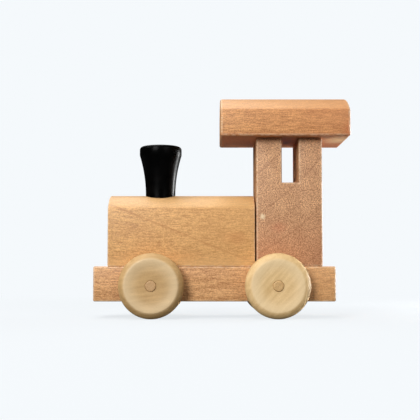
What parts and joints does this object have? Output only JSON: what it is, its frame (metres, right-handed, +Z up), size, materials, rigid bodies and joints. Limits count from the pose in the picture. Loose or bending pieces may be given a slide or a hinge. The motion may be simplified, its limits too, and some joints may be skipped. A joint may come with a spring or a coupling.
{
  "type": "toy train locomotive",
  "caption": "Small wooden toy steam locomotive: arched boiler with a turned funnel and a slotted cab under an overhanging arched roof, on a bar chassis that rolls on turned wheels.",
  "frame": {"origin": "on the floor, under the middle of the overall length and width", "axes": "+X from the funnel at the front towards the cab at the rear, +Y towards the engine's right side, +Z up"},
  "size_m": [0.099, 0.0392, 0.0869],
  "materials": {
    "chassis_wood": "sanded reddish beech, thin clear wax",
    "boiler_wood": "sanded long-grain beech, thin clear wax",
    "cab_wood": "sanded beech, speckled face",
    "roof_wood": "sanded long-grain beech, thin clear wax",
    "black_painted_wood": "turned wood dipped in satin black lacquer",
    "wheel_wood": "turned pale birch",
    "dowel_wood": "pale birch dowel",
    "nickel_plate": "nickel-plated magnet"
  },
  "bodies": {
    "engine_body": {"chassis": "chassis_wood", "boiler": "boiler_wood", "cab": "cab_wood", "roof": "roof_wood", "funnel": "black_painted_wood", "boiler_dowel_front": "dowel_wood", "boiler_dowel_rear": "dowel_wood", "cab_dowel_left": "dowel_wood", "cab_dowel_right": "dowel_wood", "roof_dowel_front": "dowel_wood", "roof_dowel_rear": "dowel_wood", "coupling_magnet": "nickel_plate"},
    "front_wheelset": {"axle_front": "dowel_wood", "wheel_front_left": "wheel_wood", "wheel_front_right": "wheel_wood"},
    "rear_wheelset": {"axle_rear": "dowel_wood", "wheel_rear_left": "wheel_wood", "wheel_rear_right": "wheel_wood"}
  },
  "joints": [
    {"name": "front_axle_spin", "type": "hinge", "parent": "engine_body", "child": "front_wheelset", "pos_m": [-0.02687, 0, 0.0125], "axis": [0, 1, 0], "continuous": true},
    {"name": "rear_axle_spin", "type": "hinge", "parent": "engine_body", "child": "rear_wheelset", "pos_m": [0.02133, 0, 0.0125], "axis": [0, 1, 0], "continuous": true}
  ]
}
